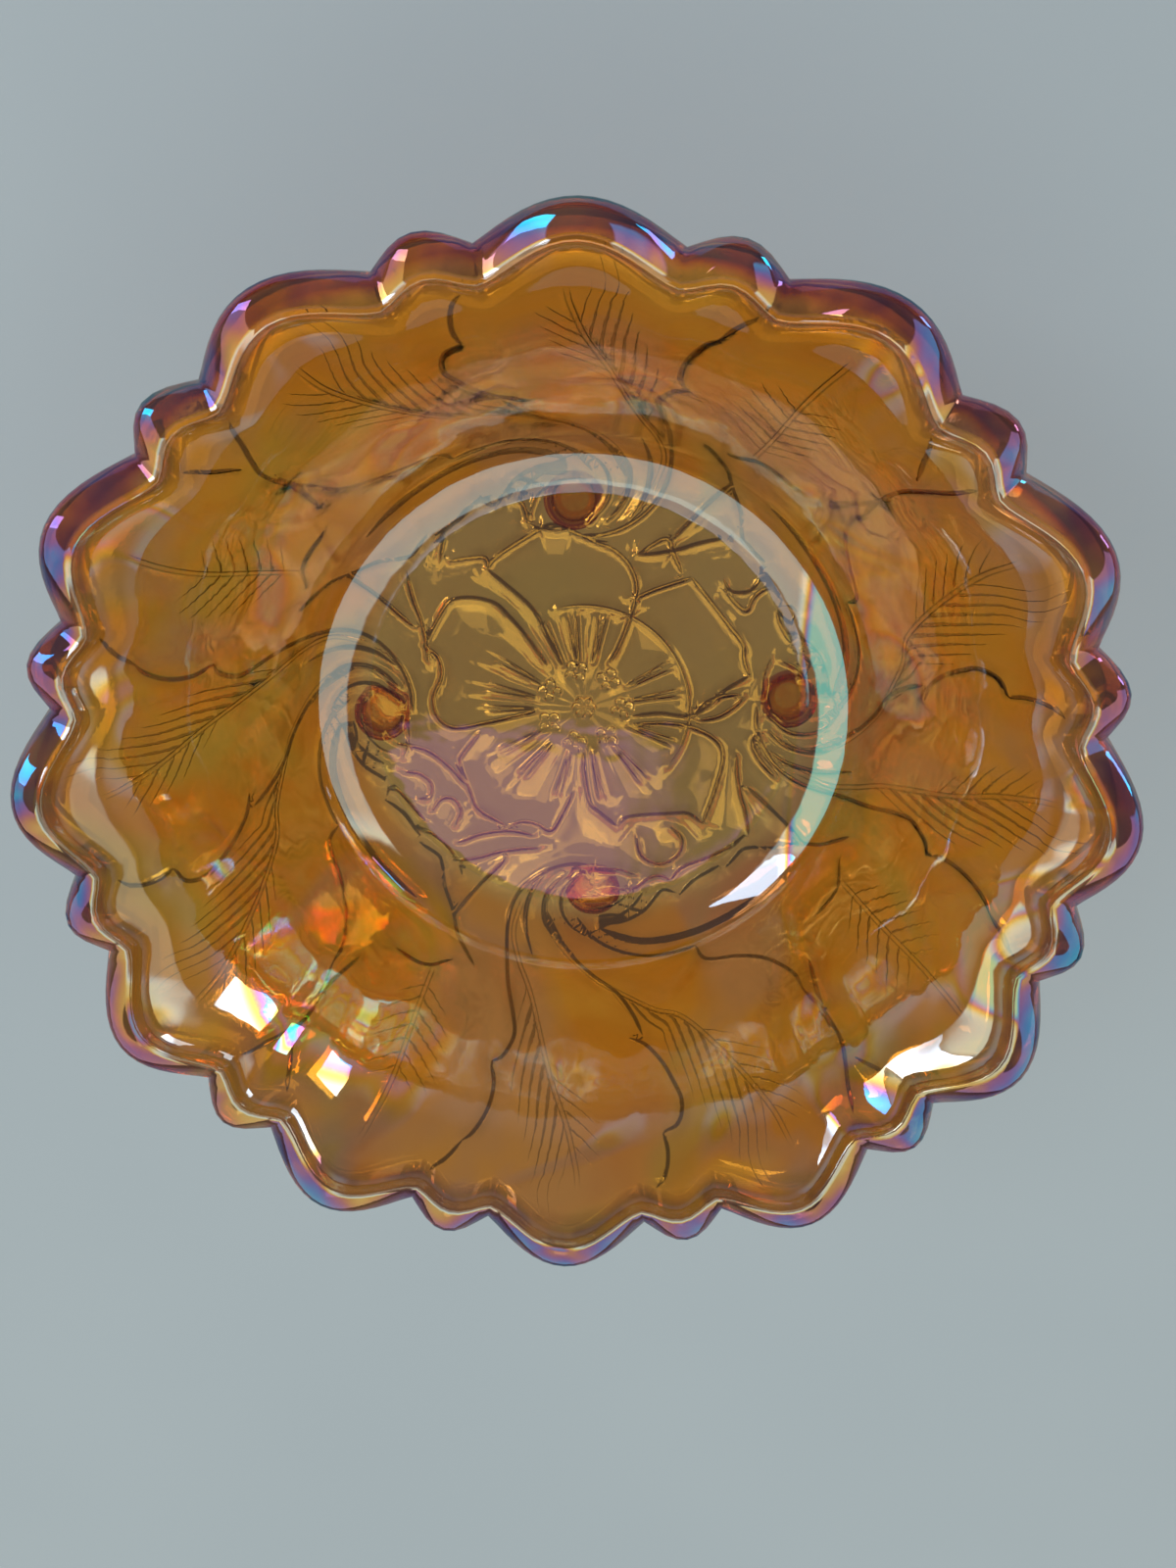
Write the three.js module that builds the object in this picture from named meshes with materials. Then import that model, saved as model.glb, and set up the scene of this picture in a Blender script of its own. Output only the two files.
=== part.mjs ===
// A shallow footed fruit bowl in pressed glass, with a scalloped rim and four ball feet.
// Millimetres, +Z up. The origin is at the middle of the circle of feet, on the surface they stand on.
import * as THREE from 'three';

// Overall form.
const RIM_DIAMETER = 292; // over the outer edges of two opposite large scallops
const INNER_DEPTH = 87; // inner floor to the crest of the rim at a notch
const FLOOR_RADIUS = 70; // flat round middle of the inner floor
const WALL = 4.8; // glass thickness of the floor and the flared side
const FILLET_RUN = 20; // radial reach of the fillet between floor and side
const FILLET_RISE = 12;
const SHOULDER_RUN = 0.8; // share of the side's reach and of its height at which the scallops begin
const SHOULDER_RISE = 0.84;

// Rim: large scallops alternate with small ones, and a thick band runs outside their crest.
const SCALLOP_PAIRS = 12;
const LARGE_SHARE = 2 / 3; // part of a pair's angle that its large scallop takes
const BAND_WIDTH = 9.6; // crest to outer edge, at a notch
const BAND_DROOP = 3.4; // the outer edge lies this much below the crest at a notch
const BAND_THICKNESS = 7; // height of the rounded outer edge
const CREST_RADIUS = 1.4; // rounding of the crest
const LARGE_CREST = { reach: 7.4, lift: 6.6 }; // how far a large scallop pushes the crest out and up
const SMALL_CREST = { reach: 3.5, lift: 1.8 };
const LARGE_EDGE = { reach: 7.3, lift: 9.4 }; // the same for the outer edge of the band
const SMALL_EDGE = { reach: 4.6, lift: 4.6 };
const LARGE_SHOULDER_SHARE = 0.55; // how much of the crest's push already acts at the shoulder
const SMALL_SHOULDER_SHARE = 0.4;
const CREST_SHARPNESS = 1.5; // a higher value narrows the scallops
const EDGE_SHARPNESS = 1.1;

// Slopes of the inner surface, in degrees from level, where its stretches meet.
const FLOOR_EDGE_SLOPE = 8;
const FILLET_TOP_SLOPE = 62;
const SHOULDER_SLOPE = 52;
const CREST_SLOPE = 74;

// Rounding of the band's outer edge.
const EDGE_TURN = 0.3; // its arc reaches in by this share of the band's thickness
const CREST_DROP = 0.35; // share of the crest's radius by which its outer end lies lower
const BAND_CROWN = { rise: 8, fall: 12, turn: 25 }; // degrees by which the band's surface bulges
const EDGE_FOOT_SLOPE = -135;
const UNDER_EDGE_SLOPE = -150;

// Feet: squashed balls under the edge of the floor.
const FOOT_COUNT = 4;
const FOOT_DIAMETER = 19;
const FOOT_HEIGHT = 10.5;
const FOOT_GROUND_RADIUS = 5; // flat on which a foot stands
const FOOT_INSET = 2.5; // a foot's middle is this far inside the edge of the flat floor
const FOOT_TURN = THREE.MathUtils.degToRad(3.6); // the feet are turned a little from the scallops
const FOOT_GAP = 0.3; // clearance between a foot's neck and the glass above it

const SEGMENTS = 9 * SCALLOP_PAIRS; // a whole number of steps to a pair keeps one on every large peak
const CURVE_STEPS = 3;
const FOOT_SEGMENTS = 20;
const PULL = 0.36; // distance of a curve's control points from its ends, as a share of its length
const FILLET_PULL = { floor: 0.52, side: 0.24 }; // the fillet leaves the floor gently and turns up late

const FOOT_CIRCLE_RADIUS = FLOOR_RADIUS - FOOT_INSET;
const FLOOR_Z = FOOT_HEIGHT + WALL;
const NOTCH_CREST_RADIUS = RIM_DIAMETER / 2 - LARGE_EDGE.reach - BAND_WIDTH;
const NOTCH_CREST_Z = FLOOR_Z + INNER_DEPTH;

const glass = new THREE.MeshStandardMaterial({
  name: 'amber_glass',
  color: '#c07a24',
  roughness: 0.06,
  metalness: 0,
});
const footGlass = new THREE.MeshStandardMaterial({
  name: 'foot_glass',
  color: '#b3401a',
  roughness: 0.08,
  metalness: 0,
});

function polar(point, angleDegrees, distance) {
  const angle = THREE.MathUtils.degToRad(angleDegrees);
  const step = new THREE.Vector2(Math.cos(angle), Math.sin(angle));
  return point.clone().addScaledVector(step, distance);
}

// Strength, from 0 in the notches to 1 on a peak, of the large and the small scallops at an angle.
function scallops(angle, sharpness) {
  const pair = (2 * Math.PI) / SCALLOP_PAIRS;
  const fromLargePeak = Math.abs(angle / pair - Math.round(angle / pair)) * 2;
  const bump = (t) => Math.cos((t * Math.PI) / 2) ** sharpness;
  if (fromLargePeak < LARGE_SHARE) {
    return { large: bump(fromLargePeak / LARGE_SHARE), small: 0 };
  }
  return { large: 0, small: bump((1 - fromLargePeak) / (1 - LARGE_SHARE)) };
}

// A point of the section, pushed out and up by the scallops.
function pushed(radius, z, { large, small }, onLarge, onSmall) {
  return new THREE.Vector2(
    radius + onLarge.reach * large + onSmall.reach * small,
    z + onLarge.lift * large + onSmall.lift * small,
  );
}

function shareOf(push, share) {
  return { reach: push.reach * share, lift: push.lift * share };
}

// The bowl's half section at an angle, from the middle of the base over the rim to the inner floor.
function bowlSection(angle) {
  const atCrest = scallops(angle, CREST_SHARPNESS);
  const atEdge = scallops(angle, EDGE_SHARPNESS);
  const crest = pushed(NOTCH_CREST_RADIUS, NOTCH_CREST_Z, atCrest, LARGE_CREST, SMALL_CREST);
  const edge = pushed(
    NOTCH_CREST_RADIUS + BAND_WIDTH,
    NOTCH_CREST_Z - BAND_DROOP - BAND_THICKNESS / 2,
    atEdge,
    LARGE_EDGE,
    SMALL_EDGE,
  );
  const floorEdge = new THREE.Vector2(FLOOR_RADIUS, FLOOR_Z);
  const filletTop = new THREE.Vector2(FLOOR_RADIUS + FILLET_RUN, FLOOR_Z + FILLET_RISE);
  const shoulder = pushed(
    filletTop.x + (NOTCH_CREST_RADIUS - filletTop.x) * SHOULDER_RUN,
    filletTop.y + (NOTCH_CREST_Z - filletTop.y) * SHOULDER_RISE,
    atCrest,
    shareOf(LARGE_CREST, LARGE_SHOULDER_SHARE),
    shareOf(SMALL_CREST, SMALL_SHOULDER_SHARE),
  );

  const path = new THREE.Path();
  const curveTo = (end, startSlope, endSlope, startPull = PULL, endPull = PULL) => {
    const start = path.currentPoint.clone();
    const a = polar(start, startSlope, start.distanceTo(end) * startPull);
    const b = polar(end, endSlope, -start.distanceTo(end) * endPull);
    path.bezierCurveTo(a.x, a.y, b.x, b.y, end.x, end.y);
  };

  path.moveTo(0, FLOOR_Z);
  path.lineTo(floorEdge.x, floorEdge.y);
  curveTo(filletTop, FLOOR_EDGE_SLOPE, FILLET_TOP_SLOPE, FILLET_PULL.floor, FILLET_PULL.side);
  curveTo(shoulder, FILLET_TOP_SLOPE, SHOULDER_SLOPE);
  curveTo(polar(crest, -90, CREST_RADIUS), SHOULDER_SLOPE, CREST_SLOPE);

  // Over the crest, across the band and round its outer edge.
  const edgeTop = new THREE.Vector2(edge.x - BAND_THICKNESS * EDGE_TURN, edge.y + BAND_THICKNESS / 2);
  const edgeFoot = new THREE.Vector2(edgeTop.x, edge.y - BAND_THICKNESS / 2);
  const crestOut = new THREE.Vector2(crest.x + CREST_RADIUS, crest.y - CREST_RADIUS * CREST_DROP);
  path.quadraticCurveTo(crest.x, crest.y, crestOut.x, crestOut.y);
  const bandSlope = THREE.MathUtils.radToDeg(Math.atan2(edgeTop.y - crestOut.y, edgeTop.x - crestOut.x));
  curveTo(edgeTop, bandSlope + BAND_CROWN.rise, bandSlope - BAND_CROWN.fall);
  curveTo(edge, bandSlope - BAND_CROWN.turn, -90);
  curveTo(edgeFoot, -90, EDGE_FOOT_SLOPE);

  // Down the outside, a wall's thickness from the inner surface.
  curveTo(polar(shoulder, SHOULDER_SLOPE - 90, WALL), UNDER_EDGE_SLOPE, SHOULDER_SLOPE - 180);
  curveTo(polar(filletTop, FILLET_TOP_SLOPE - 90, WALL), SHOULDER_SLOPE - 180, FILLET_TOP_SLOPE - 180);
  curveTo(polar(floorEdge, -90, WALL), FILLET_TOP_SLOPE - 180, -180, FILLET_PULL.side, FILLET_PULL.floor);
  path.lineTo(0, FLOOR_Z - WALL);
  return path.getPoints(CURVE_STEPS).reverse(); // a lathe's faces point out when its profile starts below
}

// A lathe turns the section of a large peak, then every ring point moves to the section at its own angle.
function makeBowl() {
  const geometry = new THREE.LatheGeometry(bowlSection(0), SEGMENTS);
  const position = geometry.attributes.position;
  for (let step = 0; step <= SEGMENTS; step += 1) {
    const angle = ((step % SEGMENTS) / SEGMENTS) * 2 * Math.PI;
    const section = bowlSection(angle);
    section.forEach((point, i) => {
      const vertex = step * section.length + i;
      position.setXYZ(vertex, point.x * Math.sin(angle), point.y, point.x * Math.cos(angle));
    });
  }
  geometry.rotateX(Math.PI / 2);
  return new THREE.Mesh(geometry, glass);
}

// A ball cut flat below, where it stands, and above, where it meets the underside of the bowl.
function makeFoot() {
  const radius = FOOT_DIAMETER / 2;
  const centreZ = Math.sqrt(radius ** 2 - FOOT_GROUND_RADIUS ** 2);
  const topZ = FOOT_HEIGHT - FOOT_GAP;
  const profile = new THREE.Path();
  profile.moveTo(0, 0);
  profile.lineTo(FOOT_GROUND_RADIUS, 0);
  profile.absarc(
    0,
    centreZ,
    radius,
    Math.atan2(-centreZ, FOOT_GROUND_RADIUS),
    Math.asin((topZ - centreZ) / radius),
    false,
  );
  profile.lineTo(0, topZ);
  const geometry = new THREE.LatheGeometry(profile.getPoints(CURVE_STEPS), FOOT_SEGMENTS);
  geometry.rotateX(Math.PI / 2);
  return new THREE.Mesh(geometry, footGlass);
}

const assembly = new THREE.Group();

const bowl = makeBowl();
bowl.name = 'bowl';
assembly.add(bowl);

for (let i = 0; i < FOOT_COUNT; i += 1) {
  const foot = makeFoot();
  const angle = FOOT_TURN + (i * 2 * Math.PI) / FOOT_COUNT;
  foot.name = `foot_${i + 1}`;
  foot.position.set(FOOT_CIRCLE_RADIUS * Math.cos(angle), FOOT_CIRCLE_RADIUS * Math.sin(angle), 0);
  assembly.add(foot);
}

export default assembly;
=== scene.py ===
import math

import bmesh
import bpy
import numpy as np
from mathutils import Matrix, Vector
from mathutils.kdtree import KDTree


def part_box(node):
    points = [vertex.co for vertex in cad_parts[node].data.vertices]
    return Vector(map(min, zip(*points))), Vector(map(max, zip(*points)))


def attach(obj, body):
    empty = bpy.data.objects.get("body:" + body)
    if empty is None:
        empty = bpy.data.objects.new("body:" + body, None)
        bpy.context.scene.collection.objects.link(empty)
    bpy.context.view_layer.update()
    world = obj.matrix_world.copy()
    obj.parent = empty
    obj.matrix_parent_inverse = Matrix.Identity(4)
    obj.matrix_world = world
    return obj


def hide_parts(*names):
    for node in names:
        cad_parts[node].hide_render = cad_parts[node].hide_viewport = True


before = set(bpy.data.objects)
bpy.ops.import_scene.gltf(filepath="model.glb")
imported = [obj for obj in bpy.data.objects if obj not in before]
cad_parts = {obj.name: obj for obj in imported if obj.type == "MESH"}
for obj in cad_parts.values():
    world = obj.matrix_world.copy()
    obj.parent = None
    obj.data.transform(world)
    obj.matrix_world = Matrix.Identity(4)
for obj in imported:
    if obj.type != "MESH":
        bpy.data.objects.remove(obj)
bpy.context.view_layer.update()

# Shapes are worked out in millimetres, in the frame of the bowl, and each mesh is scaled to metres as it is
# made. Finishes, lamps and the surroundings are in metres.
MM = 0.001
BOWL_LOW, BOWL_HIGH = (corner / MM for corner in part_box("bowl"))
FOOT_NODES = sorted(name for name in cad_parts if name.startswith("foot_"))

# The bowl's half section, at a notch of the rim.
WALL = 4.8
FLOOR_RADIUS = 70.0
INNER_DEPTH = 87.0
FILLET = np.array([20.0, 12.0])  # run and rise of the fillet between the floor and the side
FILLET_PULLS = (0.52, 0.24)  # it leaves the floor gently and turns up late
SHOULDER = np.array([0.8, 0.84])  # share of the side's run and rise at which the scallops begin
BAND_WIDTH = 9.6
BAND_DROOP = 3.4  # the outer edge of the band lies this much below the crest
BAND_THICKNESS = 7.0
EDGE_TURN = 0.3  # the rounding of the outer edge reaches in by this share of the band's thickness
CREST_RADIUS = 1.4
CREST_DROP = 0.35  # share of the crest's radius by which its outer end lies lower

# Slopes of the inner surface, and of the band's rounded edge, in degrees from level.
FLOOR_EDGE_SLOPE = 8
FILLET_TOP_SLOPE = 62
SHOULDER_SLOPE = 52
CREST_SLOPE = 74
BAND_RISE = 8  # the band's surface bulges from its chord by these angles
BAND_FALL = 12
BAND_TURN = 25
EDGE_FOOT_SLOPE = -135
UNDER_EDGE_SLOPE = -150
PULL = 0.36  # distance of a curve's control points from its ends, as a share of its length

# The rim: large scallops alternate with small ones.
SCALLOP_PAIRS = 12
LARGE_SHARE = 2 / 3  # part of a pair's angle that its large scallop takes
LARGE_CREST = np.array([7.4, 6.6])  # a large scallop pushes the crest out and up by this much
SMALL_CREST = np.array([3.5, 1.8])
LARGE_EDGE = np.array([7.3, 9.4])  # the same for the outer edge of the band
SMALL_EDGE = np.array([4.6, 4.6])
LARGE_SHOULDER_SHARE = 0.55  # how much of the crest's push already acts at the shoulder
SMALL_SHOULDER_SHARE = 0.4
CREST_SHARPNESS = 1.5  # a higher value narrows the scallops
EDGE_SHARPNESS = 1.1
BASE_Z = BOWL_LOW.z
FLOOR_Z = BASE_Z + WALL
NOTCH_CREST = np.array([BOWL_HIGH.x - LARGE_EDGE[0] - BAND_WIDTH, FLOOR_Z + INNER_DEPTH])

# Stretches of the half section, in order from the middle of the inner floor to the middle of the base.
STRETCHES = (
    "floor", "fillet", "side", "lip", "crest", "band", "edge_top", "edge_under",
    "under", "outer_side", "outer_fillet", "base",
)
STEPS = {
    "floor": 10, "fillet": 10, "side": 22, "lip": 10, "crest": 4, "band": 7, "edge_top": 3, "edge_under": 3,
    "under": 5, "outer_side": 46, "outer_fillet": 16, "base": 64,
}
MERIDIANS = 144  # steps round the plain middle; they are halved where the shape is finer


def stretch_at(name):
    return STRETCHES.index(name)


# ---------------------------------------------------------------- section of the bowl

def directions(degrees):
    angle = np.radians(degrees)
    return np.stack([np.cos(angle), np.sin(angle)], -1)


def bend(start, start_slope, end, end_slope, pulls=(PULL, PULL)):
    """Control points of a smooth curve that leaves start and reaches end at the given slopes."""
    length = np.linalg.norm(end - start, axis=-1, keepdims=True)
    return [
        start, start + pulls[0] * length * directions(start_slope),
        end - pulls[1] * length * directions(end_slope), end,
    ]


def straight(start, end):
    return [start, start + (end - start) / 3, end - (end - start) / 3, end]


def scallop_strength(angle, sharpness):
    """How strongly the large and the small scallops act at an angle, from 0 in a notch to 1 on a peak."""
    pair = 2 * math.pi / SCALLOP_PAIRS
    from_peak = np.abs(angle / pair - np.round(angle / pair)) * 2
    large = np.clip(from_peak / LARGE_SHARE, 0, 1)
    small = np.clip((1 - from_peak) / (1 - LARGE_SHARE), 0, 1)
    return np.cos(large * math.pi / 2) ** sharpness, np.cos(small * math.pi / 2) ** sharpness


def section_curves(angle):
    """The control points of each stretch, one row for each angle."""
    large, small = (s[:, None] for s in scallop_strength(angle, CREST_SHARPNESS))
    large_edge, small_edge = (s[:, None] for s in scallop_strength(angle, EDGE_SHARPNESS))
    crest = NOTCH_CREST + LARGE_CREST * large + SMALL_CREST * small
    edge = NOTCH_CREST + np.array([BAND_WIDTH, -BAND_DROOP - BAND_THICKNESS / 2])
    edge = edge + LARGE_EDGE * large_edge + SMALL_EDGE * small_edge
    every = np.zeros_like(crest)
    floor_edge = every + np.array([FLOOR_RADIUS, FLOOR_Z])
    fillet_top = floor_edge + FILLET
    shoulder = fillet_top + (NOTCH_CREST - fillet_top) * SHOULDER
    shoulder = shoulder + LARGE_SHOULDER_SHARE * LARGE_CREST * large
    shoulder = shoulder + SMALL_SHOULDER_SHARE * SMALL_CREST * small

    crest_in = crest - np.array([0, CREST_RADIUS])
    crest_out = crest + np.array([CREST_RADIUS, -CREST_DROP * CREST_RADIUS])
    edge_top = edge + BAND_THICKNESS * np.array([-EDGE_TURN, 0.5])
    edge_foot = edge + BAND_THICKNESS * np.array([-EDGE_TURN, -0.5])
    across = edge_top - crest_out
    band_slope = np.degrees(np.arctan2(across[:, 1], across[:, 0]))
    outer_shoulder = shoulder + WALL * directions(SHOULDER_SLOPE - 90)
    outer_fillet_top = fillet_top + WALL * directions(FILLET_TOP_SLOPE - 90)
    base_edge = floor_edge - np.array([0, WALL])
    axis = np.array([0, 1])
    crest_pulls = [end + (crest - end) * 2 / 3 for end in (crest_in, crest_out)]
    return [
        straight(floor_edge * axis, floor_edge),
        bend(floor_edge, FLOOR_EDGE_SLOPE, fillet_top, FILLET_TOP_SLOPE, FILLET_PULLS),
        bend(fillet_top, FILLET_TOP_SLOPE, shoulder, SHOULDER_SLOPE),
        bend(shoulder, SHOULDER_SLOPE, crest_in, CREST_SLOPE),
        [crest_in, *crest_pulls, crest_out],
        bend(crest_out, band_slope + BAND_RISE, edge_top, band_slope - BAND_FALL),
        bend(edge_top, band_slope - BAND_TURN, edge, -90),
        bend(edge, -90, edge_foot, EDGE_FOOT_SLOPE),
        bend(edge_foot, UNDER_EDGE_SLOPE, outer_shoulder, SHOULDER_SLOPE - 180),
        bend(outer_shoulder, SHOULDER_SLOPE - 180, outer_fillet_top, FILLET_TOP_SLOPE - 180),
        bend(outer_fillet_top, FILLET_TOP_SLOPE - 180, base_edge, -180, FILLET_PULLS[::-1]),
        straight(base_edge, base_edge * axis),
    ]


def bezier(points, t):
    t = t[:, None]
    a, b, c, d = points
    return a * (1 - t) ** 3 + 3 * b * t * (1 - t) ** 2 + 3 * c * t**2 * (1 - t) + d * t**3


def bezier_slope(points, t):
    t = t[:, None]
    a, b, c, d = points
    return (b - a) * (1 - t) ** 2 + 2 * (c - b) * t * (1 - t) + (d - c) * t**2


def on_section(along, angle):
    """Radius and height, and the outward normal in the same plane, at a place along the section."""
    curves = section_curves(angle)
    stretch = np.clip(along.astype(int), 0, len(STRETCHES) - 1)
    point, slope = np.zeros((len(along), 2)), np.zeros((len(along), 2))
    for i, points in enumerate(curves):
        here = stretch == i
        t = np.clip(along[here] - i, 0, 1)
        point[here] = bezier([p[here] for p in points], t)
        slope[here] = bezier_slope([p[here] for p in points], t)
    normal = np.stack([-slope[:, 1], slope[:, 0]], -1)
    return point, normal / np.maximum(np.linalg.norm(normal, axis=1, keepdims=True), 1e-9)


def in_space(point, angle):
    """A radius and height at an angle as a place, or as a direction, in space."""
    return np.stack([point[:, 0] * np.cos(angle), point[:, 0] * np.sin(angle), point[:, 1]], -1)


# ---------------------------------------------------------------- pressed pattern on the outside

FOOT_CENTRES = [(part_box(name)[0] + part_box(name)[1]) / 2 / MM for name in FOOT_NODES]
FOOT_ANGLES = [math.atan2(c.y, c.x) for c in FOOT_CENTRES]
SEEN_DEPTH = 1.6  # the pattern's radii are those of a surface this far inside the outer one
MEAN_ANGLE = math.radians(10)  # the section here is neither a peak's nor a notch's
LINE_STEP = 0.35  # distance between samples on a line of the pattern
MM_PER_DEGREE = 2.0  # at a middling radius, for even samples on a line given by angle and radius


def outer_surface():
    """The outer surface from its middle to the rim: radius of the pattern, place along the section."""
    along = np.linspace(stretch_at("base") + 1, stretch_at("under") + 0.2, 900)
    point, normal = on_section(along, np.full(len(along), MEAN_ANGLE))
    radius = np.maximum.accumulate(point[:, 0] - SEEN_DEPTH * normal[:, 0])
    return radius, along


OUTER_RADIUS, OUTER_ALONG = outer_surface()


def smooth_line(points):
    """Even samples on a smooth curve through points."""
    p = np.array(points, float)
    p = np.vstack([2 * p[0] - p[1], p, 2 * p[-1] - p[-2]])
    pieces = []
    for a, b, c, d in zip(p, p[1:], p[2:], p[3:]):
        t = np.linspace(0, 1, max(3, int(np.linalg.norm(c - b) / LINE_STEP)), endpoint=False)[:, None]
        square, cube = 2 * a - 5 * b + 4 * c - d, 3 * b - a - 3 * c + d
        pieces.append(0.5 * (2 * b + (c - a) * t + square * t**2 + cube * t**3))
    return np.vstack([*pieces, p[-2:-1]])


class Line:
    """A pressed line on the outer surface: its places, the direction to its left, and its half width."""

    def __init__(self, radius, angle, width, taper=(4, 4)):
        along = np.interp(radius, OUTER_RADIUS, OUTER_ALONG)
        point, normal = on_section(along, angle)
        self.places = in_space(point, angle)
        steps = np.gradient(self.places, axis=0)
        tangents = steps / np.linalg.norm(steps, axis=1, keepdims=True)
        self.left = np.cross(in_space(normal, angle), tangents)
        self.run = np.concatenate([[0], np.cumsum(np.linalg.norm(np.diff(self.places, axis=0), axis=1))])
        start, end = (max(t, 0.01) for t in taper)
        rise = np.clip(self.run / start, 0, 1) * np.clip((self.run[-1] - self.run) / end, 0, 1)
        self.width = width * rise**0.6


def leaf_line(points, width, foot, taper=(4, 4)):
    """A line given by angle in degrees from its foot, counter-clockwise, and radius."""
    samples = smooth_line([(a * MM_PER_DEGREE, r) for a, r in points])
    return Line(samples[:, 1], np.radians(samples[:, 0] / MM_PER_DEGREE) + foot, width, taper)


def flower_line(points, width, taper=(3, 3)):
    """A line given by x and y on the floor."""
    samples = smooth_line(points)
    return Line(np.hypot(*samples.T), np.arctan2(samples[:, 1], samples[:, 0]), width, taper)


# Edges of the three leaves that sweep round each foot. Each stretch between two cusps is its own line.
LEAF_EDGES = (
    ((-1, 56.5), (-8, 57), (-14, 60), (-18.5, 65), (-21, 71), (-21.8, 78), (-20.8, 86), (-18.3, 95),
     (-15.5, 101), (-14.7, 104), (-16, 107), (-17.8, 108)),
    ((-17.8, 108), (-16.5, 111), (-16.6, 115), (-18, 119), (-19.4, 121)),
    ((-19.4, 121), (-20.5, 124), (-22, 128), (-22.6, 131)),
    ((-12.5, 76), (-9, 83), (-5.2, 88.7), (-0.9, 92.6), (4.3, 96), (7.4, 100), (8.9, 103.2)),
    ((6.5, 103.6), (9.5, 104.8), (12, 107.5), (13.6, 111), (14.3, 114), (13.2, 117), (10.5, 117.8)),
    ((10.5, 117.8), (10.9, 121), (10.2, 125), (8.5, 129)),
    ((-4.5, 77), (-0.9, 83), (4.3, 87.2), (11.3, 90), (18.2, 90.8), (22.7, 91)),
    ((22.7, 91), (24, 94), (30.3, 95.9), (35.5, 98.8), (39.2, 103), (39.6, 106)),
    ((39.6, 106), (41, 110), (41.3, 115), (40, 119), (38.6, 123), (37.3, 129)),
    ((45.5, 129), (43.8, 123.5), (41.8, 119)),
    ((40.6, 113), (41.6, 107.5), (43.2, 103)),
    ((49.8, 79.3), (46.8, 75.7), (44.2, 73.9), (38.1, 75)),
    ((37.6, 73.2), (30.3, 72.6), (26, 74), (23.4, 75.7)),
    ((23, 74.5), (20, 71.5), (17, 73.5), (13, 77), (7, 79.2), (1, 79)),
    ((14.5, 70), (11, 74), (6, 77.4), (1, 77.2)),
    ((-30.5, 95.5), (-35, 98), (-41.5, 98.6)),
    ((-25.6, 95), (-31.2, 90.8), (-34.7, 85.8), (-40.3, 80), (-41.8, 77)),
    ((-34, 87), (-31.5, 72), (-29, 61)),
    ((-41, 71.5), (-36, 65), (-32, 60), (-26, 55.5), (-20, 53)),
)
LEAF_RIBS = (
    ((-11, 66), (-13.2, 71), (-13, 76), (-10.4, 83), (-6, 88.7), (-0.9, 93), (4.3, 95.9), (11.3, 99.5),
     (16.5, 101.7), (21.7, 106.7), (25.1, 111.8), (27.3, 117.6), (28, 124)),
    ((-19.5, 74), (-19.6, 84), (-17, 91), (-13, 97), (-7.8, 107.4), (-4.3, 114), (-2.6, 120.4),
     (-2.2, 124)),
    ((-33.3, 97.5), (-32.9, 104), (-32.2, 112), (-32.3, 118), (-33, 125)),
)
SWOOSHES = (
    (((1, 80.5), (6, 83.8), (12, 86.3), (22, 87.6), (35, 88), (47, 88.3)), 1.4),
    (((-9, 61), (-12.2, 66), (-13.6, 72), (-12.8, 79), (-9.5, 84), (-5, 88)), 0.8),
    (((-15.5, 63), (-17.6, 69), (-18, 76), (-16.8, 83), (-14, 90)), 0.8),
    (((-4, 60), (-7, 64), (-9, 69), (-8.6, 75), (-6, 80), (-1, 84)), 0.6),
    (((12, 66), (9, 70.5), (4, 73.6), (-1, 74)), 0.5),
    (((2, 58), (9, 59.5), (14, 63)), 0.5),
)


def leaf_pattern(foot):
    edges = [leaf_line(points, 0.6, foot) for points in LEAF_EDGES]
    edges += [leaf_line(points, width, foot, (10, 16)) for points, width in SWOOSHES]
    ribs = [leaf_line(points, 0.22, foot, (4, 8)) for points in LEAF_RIBS]
    return edges, ribs


# Cut strokes beside each rib of a foot's three leaves: the side of the rib, the share of the rib where they
# begin and end, their reach, their lean from the rib in radians, half their width and their spacing.
STROKES = (
    ((1, 0.34, 0.92, 17, 0.42, 1.7, 7.6), (-1, 0.60, 0.96, 11, 0.6, 0.75, 6.0)),
    ((1, 0.28, 0.92, 15, 0.44, 1.7, 7.4), (-1, 0.56, 0.94, 10, 0.6, 0.75, 6.0)),
    ((-1, 0.04, 0.72, 15, 0.95, 0.60, 5.2), (1, 0.04, 0.72, 14, 0.95, 0.60, 5.2)),
)


PLAIN_SPACING = 4.0  # written where there are no strokes
STROKE_BOW = 0.012  # how much a stroke bends towards the rib's root, per square of its distance


def strokes_beside(ribs, found):
    """The strokes at each place: the stroke's number, counted smoothly, half its width and the spacing."""
    signed, _, _, run, number = found.T
    result = np.zeros((len(found), 3))
    result[:, 2] = PLAIN_SPACING
    for k, rib in enumerate(ribs):
        for side, first, last, reach, lean, width, spacing in STROKES[k % len(STROKES)]:
            here = (number == k) & (signed * side > 0)
            away = np.abs(signed[here])
            start = run[here] - away / math.tan(lean) - STROKE_BOW * away**2
            share = (start / rib.run[-1] - first) / (last - first)
            inside = np.clip(share * 6, 0, 1) * np.clip((1 - share) * 3, 0, 1)
            tip = np.clip(1 - away / (reach * (0.35 + 0.65 * inside)), 0, 1) ** 0.8
            taper = tip * np.clip(away / 1.2, 0, 1)
            result[here] = np.stack([start / spacing, width * inside * taper, spacing + 0 * away], -1)
    return result


def stroke_depth(strokes):
    across = (strokes[:, 0] - np.floor(strokes[:, 0]) - 0.5) * strokes[:, 2]
    return np.clip(strokes[:, 1] / 0.8, 0, 1) * groove(across, 0.9)


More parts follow.
